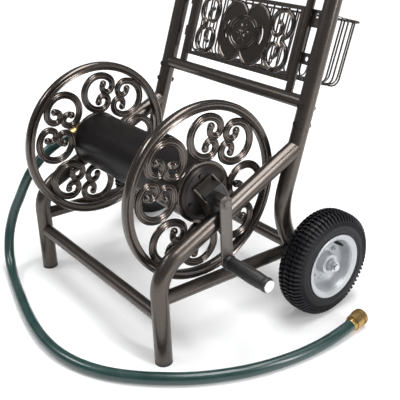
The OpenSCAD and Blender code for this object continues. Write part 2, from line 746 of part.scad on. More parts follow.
// ---- wheels ----
bead_r = 52;
bead_w = 24;
function tyre_side(k, n) = let (a = 90 * k / n, w = tyre_w / 2, hgt = wheel_r - rim_r - 6)
  [rim_r + 6 + hgt * pow(sin(a), 0.85), w * pow(cos(a), 0.55)];
module tyre() {
  n = 9;
  half = [for (k = [0:n]) tyre_side(k, n)];
  prof = concat([[bead_r, bead_w], [rim_r, bead_w], [rim_r + 1, bead_w + 1.5]], half,
    [for (k = [n - 1:-1:0]) [half[k][0], -half[k][1]]],
    [[rim_r + 1, -bead_w - 1.5], [rim_r, -bead_w], [bead_r, -bead_w]]);
  translate([wheel_x, 0, 0]) wheel_axis() rotate([0, 90, 0]) ring_of(prof);
}
module rim() {
  translate([wheel_x, 0, 0]) wheel_axis() rotate([0, 90, 0]) difference() {
    union() {
      ring_of([[bead_r - 2, -bead_w - 2.5], [rim_r, -bead_w - 2.5], [rim_r, -bead_w],
        [bead_r, -bead_w], [bead_r, bead_w], [rim_r, bead_w], [rim_r, bead_w + 2.5],
        [bead_r - 2, bead_w + 2.5]]);
      ring_of([[34, 12], [bead_r - 1, 12], [bead_r - 1, 15], [31, 15]]);
      ring_of([[hub_r - 2, 4], [34.5, 4], [34.5, 13], [31.5, 13], [31.5, 7], [hub_r - 2, 7]]);
      translate([0, 0, hub_in - wheel_x]) difference() {
        cylinder(r = hub_r, h = hub_out - hub_in);
        translate([0, 0, -1]) cylinder(r = bush_r, h = hub_out - hub_in + 2);
      }
    }
    rotate([0, 0, valve_turn]) translate([valve_r, 0, 0]) cylinder(r = 3.5, h = big);
  }
}
valve_r = 43;
valve_turn = 150;
module valve() {
  translate([wheel_x, 0, 0]) wheel_axis() rotate([0, 90, 0]) rotate([0, 0, valve_turn])
    translate([valve_r, 0, 8]) {
    cylinder(r = 3.5, h = 12);
    translate([0, 0, 12]) cylinder(r = 2.6, h = 7);
  }
}
module bush() {
  wheel_axis() difference() {
    along_x(hub_in, hub_out, bush_r);
    along_x(0, big, axle_r + run_gap);
  }
}
module tyre_right() { color(black) placed() tyre(); }
module tyre_left() { color(black) placed() left() tyre(); }
module rim_right() { color(steel) placed() rim(); }
module rim_left() { color(steel) placed() left() rim(); }
module wheel_bush_right() { color(black) placed() bush(); }
module wheel_bush_left() { color(black) placed() left() bush(); }
module valve_right() { color(black) placed() valve(); }
module valve_left() { color(black) placed() left() valve(); }

front_leg_left();
front_leg_right();
rear_leg_left();
rear_leg_right();
leg_caps();
side_rail_left();
side_rail_right();
front_crossbar();
axle_tube();
handle_tube();
handle_grip();
handle_lower_bar();
handle_upper_bar();
panel_posts();
panel_frame();
panel_casting();
basket_rim();
basket_front_wires();
basket_back_wires();
basket_left_wires();
basket_right_wires();
basket_floor_wires();
basket_clips();
handle_bolts();
bracket_left();
bracket_right();
bearing_left();
bearing_right();
wheel_axle();
axle_spacers();
axle_nuts();
inlet_elbow();
inlet_seal();
hose_inlet_nut();
hose();
coupling_tail();
coupling_washer();
coupling_nut();
reel_disc_left();
reel_disc_right();
reel_drum();
reel_shaft();
hub_cap_left();
hub_cap_right();
hub_bolts();
drum_outlet();
crank_arm();
crank_nut();
crank_spindle();
crank_grip();
grip_sleeve();
tyre_left();
tyre_right();
rim_left();
rim_right();
wheel_bush_left();
wheel_bush_right();
valve_left();
valve_right();
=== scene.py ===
"""Garden hose reel cart: pieces, finishes and stage, laid out as an add-on."""
import json
from math import cos, pi, radians, sin

import bpy
from bpy.props import FloatProperty, FloatVectorProperty, IntProperty, PointerProperty
from mathutils import Matrix, Vector


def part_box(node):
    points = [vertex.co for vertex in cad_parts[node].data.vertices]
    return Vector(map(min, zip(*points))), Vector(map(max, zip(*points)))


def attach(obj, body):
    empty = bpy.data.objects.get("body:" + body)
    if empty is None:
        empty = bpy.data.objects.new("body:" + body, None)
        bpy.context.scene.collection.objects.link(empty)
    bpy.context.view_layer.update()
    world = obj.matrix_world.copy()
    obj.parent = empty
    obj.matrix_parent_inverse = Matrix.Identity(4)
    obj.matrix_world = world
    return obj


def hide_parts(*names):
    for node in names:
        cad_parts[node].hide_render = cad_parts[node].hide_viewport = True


bl_info = {
    "name": "Hose Reel Cart",
    "version": (1, 0, 0),
    "blender": (4, 5, 0),
    "location": "View3D > Sidebar > Reel Cart",
    "description": "Models and finishes a two-wheeled garden hose reel cart",
    "category": "Add Mesh",
}

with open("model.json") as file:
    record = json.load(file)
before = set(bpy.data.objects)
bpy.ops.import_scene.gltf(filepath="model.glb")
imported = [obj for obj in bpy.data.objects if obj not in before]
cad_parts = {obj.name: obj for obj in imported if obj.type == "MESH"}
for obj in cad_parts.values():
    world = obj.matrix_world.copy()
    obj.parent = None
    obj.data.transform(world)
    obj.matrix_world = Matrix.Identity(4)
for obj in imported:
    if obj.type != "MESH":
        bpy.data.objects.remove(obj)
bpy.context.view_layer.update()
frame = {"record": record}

MM = 0.001


def middle(node):
    """Centre of a CAD node's box."""
    low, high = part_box(node)
    return (Vector(low) + Vector(high)) / 2


def span(node, axis):
    """Size of a CAD node's box along one axis, in metres."""
    low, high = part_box(node)
    return high[axis] - low[axis]


REEL = middle("reel_shaft")
AXLE = middle("wheel_axle")
SHIFT = Vector((AXLE.x, REEL.y, 0.0))
DISC_X = abs(middle("reel_disc_right").x - SHIFT.x)
DISC_R = span("reel_disc_right", 2) / 2
WHEEL_X = abs(middle("tyre_right").x - SHIFT.x)
TYRE_R = AXLE.z
LEAN = radians(19.1)
SEAM = Vector((0.0, 0.2055, 0.352))
PANEL_LOW, PANEL_H = 0.078, 0.143
PANEL_FRAME, PANEL_GAP = 0.016, 0.0008
BASKET = {"half": 0.188, "low": 0.089, "top": 0.217, "near": -0.012, "far": -0.130}
RIM_WIRE_R, RIM_BEND, WIRE_BEND = 0.0025, 0.014, 0.018
END_TURN = radians(8)

# Frames that pieces are modelled in: x, y and z columns, then the origin
CYCLE = Matrix(((0, 0, 1, 0), (1, 0, 0, 0), (0, 1, 0, 0), (0, 0, 0, 1)))
CYCLE_LEFT = Matrix(((0, 0, -1, 0), (-1, 0, 0, 0), (0, 1, 0, 0), (0, 0, 0, 1)))
SIDES = (("right", 1, CYCLE), ("left", -1, CYCLE_LEFT))


def at(x, y, z):
    """A point of the cart in metres, from its middle plane and reel axis, in the shared frame."""
    return Vector((x, y, z)) + SHIFT


def on_handle():
    """Frame of the leaning handle: x across, y up the handle, z forwards."""
    up = Vector((0, sin(LEAN), cos(LEAN)))
    front = Vector((0, -cos(LEAN), sin(LEAN)))
    m = Matrix(((1, up.x, front.x, 0), (0, up.y, front.y, 0), (0, up.z, front.z, 0), (0, 0, 0, 1)))
    return Matrix.Translation(SEAM + SHIFT) @ m


# ---- settings ----
def size_value(name, description, value):
    return FloatProperty(name=name, description=description, default=value, unit="LENGTH")


class CartSizes(bpy.types.PropertyGroup):
    """Sizes a user may change."""

    lug_count: IntProperty(name="Tread lugs", description="Lugs round one tyre", default=70, min=24, max=90)
    scroll_width: size_value("Scroll width", "Widest band of a scroll", 0.0152)
    wire: size_value("Basket wire", "Diameter of the basket wires", 0.0036)
    hose: size_value("Hose", "Outside diameter of the hose", 0.0215)


def colour(name, description, value):
    return FloatVectorProperty(name=name, description=description, default=value, subtype="COLOR",
                               size=3, min=0, max=1)


class CartColours(bpy.types.PropertyGroup):
    """Colours a user may change."""

    coat: colour("Powder coat", "Dark bronze coat of the tubes", (0.082, 0.068, 0.059))
    fleck: colour("Metal fleck", "Bright flecks in the coat", (0.34, 0.29, 0.25))
    cast: colour("Cast coat", "Coat of the cast scroll work", (0.085, 0.07, 0.061))
    crank: colour("Crank arm", "Grey coat of the crank arm", (0.15, 0.132, 0.124))
    hose: colour("Hose", "Green vinyl of the hose", (0.007, 0.04, 0.037))
    rim: colour("Rim", "Silver paint of the rims", (0.47, 0.49, 0.51))
    tyre: colour("Tyre", "Black rubber", (0.006, 0.006, 0.0085))
    # Dull brass, darkened further as painted shade for the shade the couplings sit in.
    brass: colour("Brass", "Hose couplings", (0.46, 0.31, 0.12))


def sizes():
    return bpy.context.scene.cart_sizes


def colours():
    return bpy.context.scene.cart_colours


# ---- modelling by hand ----
def clear_selection():
    if bpy.context.mode != "OBJECT":
        bpy.ops.object.mode_set(mode="OBJECT")
    bpy.ops.object.select_all(action="DESELECT")


def pick(*objs):
    """Selects only these objects; the first is the active one."""
    clear_selection()
    for o in objs:
        o.select_set(True)
    bpy.context.view_layer.objects.active = objs[0]


def open_mesh(obj):
    pick(obj)
    bpy.ops.object.mode_set(mode="EDIT")
    bpy.ops.mesh.select_all(action="SELECT")


def close_mesh():
    bpy.ops.object.mode_set(mode="OBJECT")


def draw_line(name, points, closed=False):
    """A line of edges, drawn by extruding one point from place to place; stays in edit mode."""
    clear_selection()
    bpy.ops.mesh.primitive_plane_add(size=0.001)
    obj = bpy.context.active_object
    obj.name = name
    bpy.ops.object.mode_set(mode="EDIT")
    bpy.ops.mesh.select_all(action="SELECT")
    bpy.ops.mesh.merge(type="CENTER")
    last = Vector(points[0])
    bpy.ops.transform.translate(value=last)
    for p in list(points[1:]) + ([points[0]] if closed else []):
        p = Vector(p)
        bpy.ops.mesh.extrude_region_move(TRANSFORM_OT_translate={"value": p - last})
        last = p
    bpy.ops.mesh.select_all(action="SELECT")
    if closed:
        bpy.ops.mesh.remove_doubles(threshold=1e-6)
    return obj


def face_outwards():
    """Selects all of the open mesh and turns its faces outwards."""
    bpy.ops.mesh.select_all(action="SELECT")
    bpy.ops.mesh.normals_make_consistent(inside=False)


def push_out(way):
    """Fills the open outline and pushes it out."""
    bpy.ops.mesh.edge_face_add()
    bpy.ops.mesh.extrude_region_move(TRANSFORM_OT_translate={"value": way})


def settle(obj, matrix, angle=35):
    """Puts the place into the mesh and shades it smooth up to an angle."""
    pick(obj)
    obj.matrix_world = matrix
    bpy.ops.object.transform_apply(location=True, rotation=True, scale=True)
    bpy.ops.object.shade_smooth_by_angle(angle=radians(angle))
    return obj


def lathe(name, profile, steps, matrix=None, closed=True, angle=35):
    """Turns a profile of (radius, height) points about z."""
    obj = draw_line(name, [(r, 0, h) for r, h in profile], closed)
    bpy.ops.mesh.spin(steps=steps, angle=2 * pi, center=(0, 0, 0), axis=(0, 0, 1))
    bpy.ops.mesh.select_all(action="SELECT")
    bpy.ops.mesh.remove_doubles(threshold=2e-6)
    bpy.ops.mesh.normals_make_consistent(inside=False)
    close_mesh()
    if matrix is not None:
        settle(obj, matrix, angle)
    return obj


def modify(obj, kind, **values):
    """Adds one modifier, sets it and applies it."""
    pick(obj)
    bpy.ops.object.modifier_add(type=kind)
    m = obj.modifiers[-1]
    for key, value in values.items():
        setattr(m, key, value)
    bpy.ops.object.modifier_apply(modifier=m.name)
    return obj


def rod_from_line(obj, radius, sides=3, widths=None, section=None):
    """Turns a drawn line into a rod of a round or given section."""
    close_mesh()
    pick(obj)
    bpy.ops.object.convert(target="CURVE")
    obj = bpy.context.active_object
    c = obj.data
    c.dimensions = "3D"
    c.twist_mode = "Z_UP"
    c.use_fill_caps = True
    if widths:
        for p, w in zip(c.splines[0].points, widths):
            p.radius = w
    if section:
        c.bevel_mode = "OBJECT"
        c.bevel_object = section
    else:
        c.bevel_depth = radius
        c.bevel_resolution = sides
    bpy.ops.object.convert(target="MESH")
    return bpy.context.active_object


def copy_of(obj, matrix):
    """A copy with its own mesh, moved by a matrix."""
    pick(obj)
    bpy.ops.object.duplicate(linked=False)
    new = bpy.context.active_object
    new.matrix_world = matrix
    bpy.ops.object.transform_apply(location=True, rotation=True, scale=True)
    return new


def copy_and_drop(obj, matrix):
    """A moved copy in the place of the first one."""
    new = copy_of(obj, matrix)
    bpy.data.objects.remove(obj)
    return new


def join(name, parts):
    pick(*parts)
    if len(parts) > 1:
        bpy.ops.object.join()
    obj = bpy.context.active_object
    obj.name = name
    obj.data.name = name
    return obj


def fix_normals(obj):
    open_mesh(obj)
    bpy.ops.mesh.remove_doubles(threshold=1e-6)
    bpy.ops.mesh.normals_make_consistent(inside=False)
    close_mesh()
    return obj


def finish_piece(obj, body, slot, *replaced):
    """Body, slot, material and replaced nodes of one finished piece."""
    obj.data.materials.clear()
    obj.data.materials.append(finish(slot))
    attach(obj, body)
    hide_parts(*replaced)


# ---- node groups ----
def new_group(name, inputs, outputs):
    g = bpy.data.node_groups.new(name, "ShaderNodeTree")
    for label, kind, value in inputs:
        s = g.interface.new_socket(name=label, in_out="INPUT", socket_type="NodeSocket" + kind)
        s.default_value = value
    for label, kind in outputs:
        g.interface.new_socket(name=label, in_out="OUTPUT", socket_type="NodeSocket" + kind)
    return g, g.nodes.new("NodeGroupInput"), g.nodes.new("NodeGroupOutput")


def add_node(tree, kind, inputs=None, **values):
    n = tree.nodes.new("ShaderNode" + kind)
    for key, value in values.items():
        setattr(n, key, value)
    for key, value in (inputs or {}).items():
        if isinstance(value, bpy.types.NodeSocket):
            tree.links.new(value, n.inputs[key])
        else:
            n.inputs[key].default_value = value
    return n


def ramp(tree, value, low, high, a=0.0, b=1.0):
    return add_node(tree, "MapRange", {"Value": value, "From Min": low, "From Max": high,
                                       "To Min": a, "To Max": b}).outputs[0]


def maths(tree, op, a, b, c=0.0):
    return add_node(tree, "Math", {0: a, 1: b, 2: c}, operation=op).outputs[0]


def place_of(tree):
    """Object coordinates, in metres."""
    return add_node(tree, "TexCoord").outputs["Object"]


def noise(tree, place, scale, detail, roughness=0.5):
    return add_node(tree, "TexNoise", {"Vector": place, "Scale": scale, "Detail": detail,
                                       "Roughness": roughness}).outputs[0]


def mix_colours(tree, mask, a, b):
    return add_node(tree, "Mix", {0: mask, 6: a, 7: b}, data_type="RGBA").outputs[2]


def tone_group():
    """Slow change of tone, and small bright flecks, over a coat or casting."""
    g, i, o = new_group(
        "Tone and Fleck",
        [("Color", "Color", (0.1, 0.1, 0.1, 1)), ("Fleck Color", "Color", (0.4, 0.4, 0.4, 1)),
         ("Fleck Amount", "Float", 0.3), ("Fleck Scale", "Float", 900.0), ("Tone Scale", "Float", 9.0),
         ("Tone Amount", "Float", 0.25)],
        [("Color", "Color"), ("Mask", "Float")],
    )
    place = place_of(g)
    slow = noise(g, place, i.outputs["Tone Scale"], 4.0, 0.6)
    low = maths(g, "SUBTRACT", 1.0, i.outputs["Tone Amount"])
    high = maths(g, "ADD", 1.0, i.outputs["Tone Amount"])
    tone = ramp(g, slow, 0.3, 0.7, low, high)
    cell = add_node(g, "TexVoronoi", {"Vector": place, "Scale": i.outputs["Fleck Scale"]})
    pickup = add_node(g, "SeparateColor", {"Color": cell.outputs["Color"]}).outputs[0]
    spot = maths(g, "MULTIPLY", ramp(g, pickup, 0.72, 1.0), i.outputs["Fleck Amount"])
    base = add_node(g, "VectorMath", {0: i.outputs["Color"], 3: tone}, operation="SCALE").outputs[0]
    g.links.new(mix_colours(g, spot, base, i.outputs["Fleck Color"]), o.inputs["Color"])
    g.links.new(spot, o.inputs["Mask"])
    return g


def grain_group():
    """Fine surface height, such as orange peel, moulded grain or cast skin, with matching roughness."""
    g, i, o = new_group(
        "Surface Grain",
        [("Scale", "Float", 400.0), ("Stretch", "Vector", (1, 1, 1)), ("Broad", "Float", 0.3),
         ("Roughness", "Float", 0.4), ("Spread", "Float", 0.1)],
        [("Height", "Float"), ("Roughness", "Float")],
    )
    stretched = {0: place_of(g), 1: i.outputs["Stretch"]}
    place = add_node(g, "VectorMath", stretched, operation="MULTIPLY").outputs[0]
    fine = noise(g, place, i.outputs["Scale"], 3.0)
    wide = noise(g, place, maths(g, "MULTIPLY", i.outputs["Scale"], 0.08), 4.0)
    height = add_node(g, "Mix", {0: i.outputs["Broad"], 2: fine, 3: wide}).outputs[0]
    uneven = maths(g, "SUBTRACT", wide, 0.5)
    rough = maths(g, "MULTIPLY_ADD", uneven, i.outputs["Spread"], i.outputs["Roughness"])
    g.links.new(height, o.inputs["Height"])
    g.links.new(rough, o.inputs["Roughness"])
    return g


def wear_group():
    """Light scuffs in long thin strokes; the mask is 1 where the surface is rubbed."""
    g, i, o = new_group(
        "Scuffs",
        [("Scale", "Float", 30.0), ("Amount", "Float", 0.4)],
        [("Mask", "Float")],
    )
    place = place_of(g)
    turned = add_node(g, "Mapping", {"Vector": place, "Rotation": (0.6, 0.9, 0.4),
                                     "Scale": (1, 7, 1)}).outputs[0]
    strokes = noise(g, turned, i.outputs["Scale"], 6.0, 0.7)
    patch = noise(g, place, 6.0, 2.0)
    mask = maths(g, "MULTIPLY", ramp(g, strokes, 0.6, 0.72), ramp(g, patch, 0.45, 0.62))
    g.links.new(maths(g, "MULTIPLY", mask, i.outputs["Amount"]), o.inputs["Mask"])
    return g


def dust_group():
    """Thin dust on faces that look up, broken by noise."""
    g, i, o = new_group(
        "Settled Dust",
        [("Color", "Color", (0.1, 0.1, 0.1, 1)), ("Dust Color", "Color", (0.34, 0.32, 0.29, 1)),
         ("Amount", "Float", 0.1)],
        [("Color", "Color"), ("Mask", "Float")],
    )
    up = add_node(g, "SeparateXYZ", {0: add_node(g, "NewGeometry").outputs["Normal"]}).outputs[2]
    cloud = noise(g, place_of(g), 28.0, 5.0)
    lying = maths(g, "MULTIPLY", ramp(g, up, 0.1, 0.9), ramp(g, cloud, 0.35, 0.75))
    mask = maths(g, "MULTIPLY", lying, i.outputs["Amount"])
    g.links.new(mix_colours(g, mask, i.outputs["Color"], i.outputs["Dust Color"]), o.inputs["Color"])
    g.links.new(mask, o.inputs["Mask"])
    return g


GROUPS = {}


def group(name):
    """Builds a shared group once and returns it."""
    makers = {"tone": tone_group, "grain": grain_group, "wear": wear_group, "dust": dust_group}
    if name not in GROUPS:
        GROUPS[name] = makers[name]()
    return GROUPS[name]


def place_group(tree, name, **inputs):
    n = tree.nodes.new("ShaderNodeGroup")
    n.node_tree = group(name)
    for key, value in inputs.items():
        label = key.replace("_", " ").title()
        if isinstance(value, bpy.types.NodeSocket):
            tree.links.new(value, n.inputs[label])
        else:
            n.inputs[label].default_value = value
    return n


def rgba(c):
    return (c[0], c[1], c[2], 1.0)


def finish_of(name, color, roughness, metallic=0.0, fleck=None, fleck_amount=0.0, tone=0.15, tone_scale=9.0,
              grain=400.0, stretch=(1, 1, 1), broad=0.3, spread=0.15, bump=0.15, depth=0.0004, wear=0.0,
              wear_color=None, dust=0.06, coat=0.0, coat_roughness=0.1, specular=0.5, sheen=0.0):
    """One finished material: tone, flecks, scuffs and dust in the colour, grain in roughness and normal."""
    m = bpy.data.materials.new(name)
    m.use_nodes = True
    m.diffuse_color = rgba(color)
    t = m.node_tree
    t.nodes.clear()
    shader = add_node(t, "BsdfPrincipled", {
        "Metallic": metallic, "Specular IOR Level": specular, "Coat Weight": coat,
        "Coat Roughness": coat_roughness, "Sheen Weight": sheen})
    tones = place_group(t, "tone", color=rgba(color), fleck_color=rgba(fleck or color),
                        fleck_amount=fleck_amount, tone_scale=tone_scale, tone_amount=tone)
    base = tones.outputs["Color"]
    grains = place_group(t, "grain", scale=grain, stretch=stretch, broad=broad,
                         roughness=roughness, spread=spread)
    rough = grains.outputs["Roughness"]
    if wear:
        scuff = place_group(t, "wear", amount=wear).outputs["Mask"]
        base = mix_colours(t, scuff, base, rgba(wear_color or color))
        rough = maths(t, "MULTIPLY_ADD", scuff, 0.2, rough)
    if dust:
        base = place_group(t, "dust", color=base, amount=dust).outputs["Color"]
    bumped = add_node(t, "Bump", {"Strength": bump, "Distance": depth,
                                  "Height": grains.outputs["Height"]}).outputs[0]
    out = t.nodes.new("ShaderNodeOutputMaterial")
    for value, socket in ((base, "Base Color"), (rough, "Roughness"), (bumped, "Normal")):
        t.links.new(value, shader.inputs[socket])
    t.links.new(shader.outputs[0], out.inputs[0])
    return m


FINISHES = {}


def finish(slot):
    """The material of one of the record's slots."""
    if slot not in FINISHES:
        name, color, roughness, values = slot_finishes()[slot]
        FINISHES[slot] = finish_of(name, color, roughness, **values)
    return FINISHES[slot]


def slot_finishes():
    """Each slot's material: its name, colour and roughness, then what sets it apart."""
    c = colours()
    bright = tuple(c.fleck)
    return {
        "frame_paint": ("Bronze powder coat", c.coat, 0.3, dict(
            metallic=0.85, fleck=bright, fleck_amount=0.14, tone=0.05, grain=650, spread=0.06, bump=0.05,
            depth=0.0002, wear=0.05, wear_color=bright, coat=0.25)),
        "cast_paint": ("Bronze coat on casting", c.cast, 0.2, dict(
            metallic=0.9, fleck=bright, fleck_amount=0.15, tone=0.12, tone_scale=22, grain=300, broad=0.5,
            spread=0.08, bump=0.12, wear=0.1, wear_color=bright, coat=0.3)),
        # The hub cover's own dark coat, darkened further below the frame's coat as painted shade.
        "hub_paint": ("Hub cover coat with painted shade", (0.03, 0.025, 0.024), 0.3, dict(
            metallic=0.4, grain=500, bump=0.1, dust=0.02, specular=0.2)),
        "black_zinc": ("Black zinc", (0.075, 0.072, 0.07), 0.3, dict(
            metallic=1.0, tone_scale=60, grain=500, wear=0.3, wear_color=(0.25, 0.24, 0.23), dust=0.03)),
        "shaft_paint": ("Shaft coat", (0.018, 0.017, 0.017), 0.3, dict(
            metallic=0.3, grain=500, wear=0.3, wear_color=(0.14, 0.13, 0.13), dust=0.03)),
        "foam": ("Closed-cell foam", (0.02, 0.02, 0.021), 0.85, dict(
            tone=0.3, tone_scale=40, grain=900, broad=0.1, bump=0.8, depth=0.0008, dust=0.1, specular=0.25,
            sheen=0.2)),
        "cap_plastic": ("Foot cap plastic", (0.02, 0.02, 0.022), 0.55, dict(
            grain=700, bump=0.3, wear=0.5, wear_color=(0.12, 0.12, 0.12), dust=0.2)),
        "bearing_plastic": ("Bearing plastic", (0.01, 0.009, 0.009), 0.34, dict(
            grain=500, bump=0.2, tone=0.2, dust=0.08, coat=0.1)),
        "drum_paint": ("Drum paint", (0.009, 0.008, 0.008), 0.34, dict(
            metallic=0.1, fleck=bright, fleck_amount=0.04, grain=500, stretch=(0.25, 1, 1), bump=0.12,
            wear=0.15, wear_color=(0.06, 0.05, 0.045), dust=0.01, specular=0.14)),
        "basket_coat": ("Wire coating", (0.06, 0.05, 0.045), 0.35, dict(
            metallic=0.5, fleck=bright, fleck_amount=0.2, grain=900, bump=0.2, dust=0.05)),
        "zinc": ("Zinc plate", (0.56, 0.57, 0.6), 0.28, dict(
            metallic=1.0, tone=0.12, tone_scale=60, grain=500, stretch=(1, 0.15, 1), wear=0.3,
            wear_color=(0.3, 0.29, 0.28), dust=0.03)),
        "crank_paint": ("Crank coat", c.crank, 0.42, dict(
            metallic=0.6, fleck=bright, fleck_amount=0.3, grain=500, bump=0.25, wear=0.4,
            wear_color=(0.36, 0.33, 0.3), coat=0.1)),
        "grip_plastic": ("Grip plastic", (0.008, 0.008, 0.009), 0.45, dict(
            tone=0.2, tone_scale=30, grain=420, stretch=(2.5, 1, 1), bump=0.5, depth=0.0005, wear=0.2,
            wear_color=(0.06, 0.06, 0.065))),
        "sleeve_chrome": ("Chrome sleeve", (0.82, 0.83, 0.85), 0.12, dict(
            metallic=1.0, tone=0.05, grain=300, bump=0.05, wear=0.2, wear_color=(0.5, 0.5, 0.5), dust=0.02)),
        "tyre_rubber": ("Tyre rubber", c.tyre, 0.55, dict(
            tone=0.25, tone_scale=25, grain=350, broad=0.4, bump=0.4, depth=0.0006, wear=0.2,
            wear_color=(0.03, 0.03, 0.032), dust=0.02, specular=0.35)),
        "rim_silver": ("Silver paint", c.rim, 0.4, dict(
            metallic=0.5, fleck=(0.85, 0.86, 0.88), fleck_amount=0.3, tone=0.1, grain=350, wear=0.25,
            wear_color=(0.4, 0.4, 0.4), dust=0.05, coat=0.2)),
        "valve_rubber": ("Valve rubber", (0.02, 0.02, 0.02), 0.6, dict(grain=600, bump=0.3)),
        "bush_plastic": ("Bush plastic", (0.5, 0.5, 0.47), 0.45, dict(
            grain=500, bump=0.2, tone=0.1, wear=0.3, wear_color=(0.25, 0.24, 0.22))),
        # Dull brass of the couplings, darkened further as painted shade.
        "brass": ("Machined brass with painted shade", c.brass, 0.33, dict(
            metallic=1.0, fleck=(0.7, 0.52, 0.25), fleck_amount=0.2, tone=0.25, tone_scale=70, grain=700,
            bump=0.2, wear=0.5, wear_color=(0.2, 0.12, 0.05), dust=0.03)),
        "hose_vinyl": ("Green vinyl", c.hose, 0.3, dict(
            tone=0.16, tone_scale=14, grain=260, broad=0.4, bump=0.2, depth=0.0005, wear=0.2,
            wear_color=(0.07, 0.16, 0.15), dust=0.08, coat=0.35, coat_roughness=0.12)),
        "seal_rubber": ("Seal rubber", (0.03, 0.03, 0.03), 0.6, dict(grain=600, bump=0.3)),
    }


# ---- stage ----
CAMERA = {"place": (1.0652, -0.6826, 0.8083), "turn": radians(-37.54), "rise": radians(21.77),
          "roll": radians(-2.13), "sensor": 36, "lens": 63.126, "shift": -0.13175}
FLOOR_SIZE = 14
# The floor's glow, which is painted light: from and to these distances from the cart, and from and to these
# strengths
FLOOR_GLOW = (0.5, 3.2, 0.18, 0.66)
STUDIO_TINT, STUDIO_LIGHT, STUDIO_SEEN = (0.95, 0.97, 1.0, 1), 0.22, 1.0
# Each lamp's place, what it points at, its two sides and its power
LAMPS = {
    "Fill": ((-1.3, -1.7, 2.3), (0, 0, 0.3), (1.2, 0.5), 26),
    "Overhead": ((0.2, 0.3, 3.0), (0, 0, 0.2), (2.8, 1.4), 95),
    "Right strip": ((2.6, 0.5, 1.5), (0, 0, 0.3), (0.4, 1.9), 42),
}


def make_camera():
    turn, rise, roll = CAMERA["turn"], CAMERA["rise"], CAMERA["roll"]
    back = Vector((cos(turn) * cos(rise), sin(turn) * cos(rise), sin(rise)))
    right = Vector((-sin(turn), cos(turn), 0))
    up = back.cross(right)
    side = right * cos(roll) + up * sin(roll)
    top = up * cos(roll) - right * sin(roll)
    clear_selection()
    bpy.ops.object.camera_add()
    cam = bpy.context.active_object
    cam.name = "Camera"
    m = Matrix((side, top, back)).transposed().to_4x4()
    cam.matrix_world = Matrix.Translation(at(*CAMERA["place"])) @ m
    cam.data.sensor_width = CAMERA["sensor"]
    cam.data.lens = CAMERA["lens"]
    cam.data.shift_y = CAMERA["shift"]
    bpy.context.scene.camera = cam


def area_light(name, place, target, size, power):
    clear_selection()
    bpy.ops.object.light_add(type="AREA", location=place)
    lamp = bpy.context.active_object
    lamp.name = name
    lamp.rotation_euler = (Vector(place) - Vector(target)).to_track_quat("Z", "Y").to_euler()
    lamp.data.shape = "RECTANGLE"
    lamp.data.size, lamp.data.size_y = size
    lamp.data.energy = power


def floor_finish():
    """Pale paper with painted light: it glows a little more the further it is from the cart, so that it stays
    white, and its weaker glow near the cart lightens the cart's shadow.
    """
    m = finish_of("Floor paper", (0.88, 0.88, 0.88), 0.75, tone=0.01, grain=60, bump=0.02, dust=0,
                  specular=0.15)
    t = m.node_tree
    shader = t.nodes["Principled BSDF"]
    away = add_node(t, "VectorMath", {0: place_of(t)}, operation="LENGTH").outputs[1]
    glow = ramp(t, away, *FLOOR_GLOW)
    grey = add_node(t, "CombineColor", {0: glow, 1: glow, 2: glow}).outputs[0]
    t.links.new(grey, shader.inputs["Emission Color"])
    shader.inputs["Emission Strength"].default_value = 1.0
    return m


def studio_world():
    """Soft pale surroundings, brighter where the camera sees them directly."""
    world = bpy.data.worlds.new("Studio")
    world.use_nodes = True
    tree = world.node_tree
    back = tree.nodes["Background"]
    back.inputs["Color"].default_value = STUDIO_TINT
    seen = add_node(tree, "LightPath").outputs["Is Camera Ray"]
    tree.links.new(ramp(tree, seen, 0, 1, STUDIO_LIGHT, STUDIO_SEEN), back.inputs["Strength"])
    return world


class CART_OT_stage(bpy.types.Operator):
    """Sets the camera, the pale floor and the studio light"""

    bl_idname = "cart.stage"
    bl_label = "Stage"

    def execute(self, context):
        make_camera()
        clear_selection()
        bpy.ops.mesh.primitive_plane_add(size=FLOOR_SIZE, location=(0, 0, 0))
        floor = context.active_object
        floor.name = "Floor"
        floor.data.materials.append(floor_finish())
        context.scene.world = studio_world()
        context.scene.view_settings.view_transform = "Standard"
        for name, values in LAMPS.items():
            area_light(name, *values)
        return {"FINISHED"}


# ---- hose ----
HOSE_POINTS = [
    (-248, -35.3, 270.5), (-249, -60, 263.5), (-251, -85, 251), (-255, -108, 232), (-260, -128, 209),
    (-267, -142, 182), (-275, -153, 154), (-283, -165, 125), (-286, -175, 98), (-284, -184, 74),
    (-276, -192, 52), (-262, -200, 33), (-240, -208, 19), (-212, -217, 12), (-180, -226, 11),
    (-130, -239, 11), (-75, -252, 11), (-20, -262, 11), (35, -267, 11), (90, -264, 11), (140, -251, 11),
    (185, -229, 11), (225, -199, 11), (262, -163, 11), (295, -123, 11), (322, -80, 11), (345, -32, 11),
    (361, 18, 11), (371, 68, 11), (376, 115, 12.5), (377, 150, 15.3), (375, 180, 16.4),
]
EXIT_DROP = radians(12)
# Ribs round the swivel ring: how many, and one rib's size and place
RING_RIBS, RIB_SIZE, RIB_PLACE = 30, (0.0016, 0.0011, 0.0072), (0.0152, 0, 0.0288)


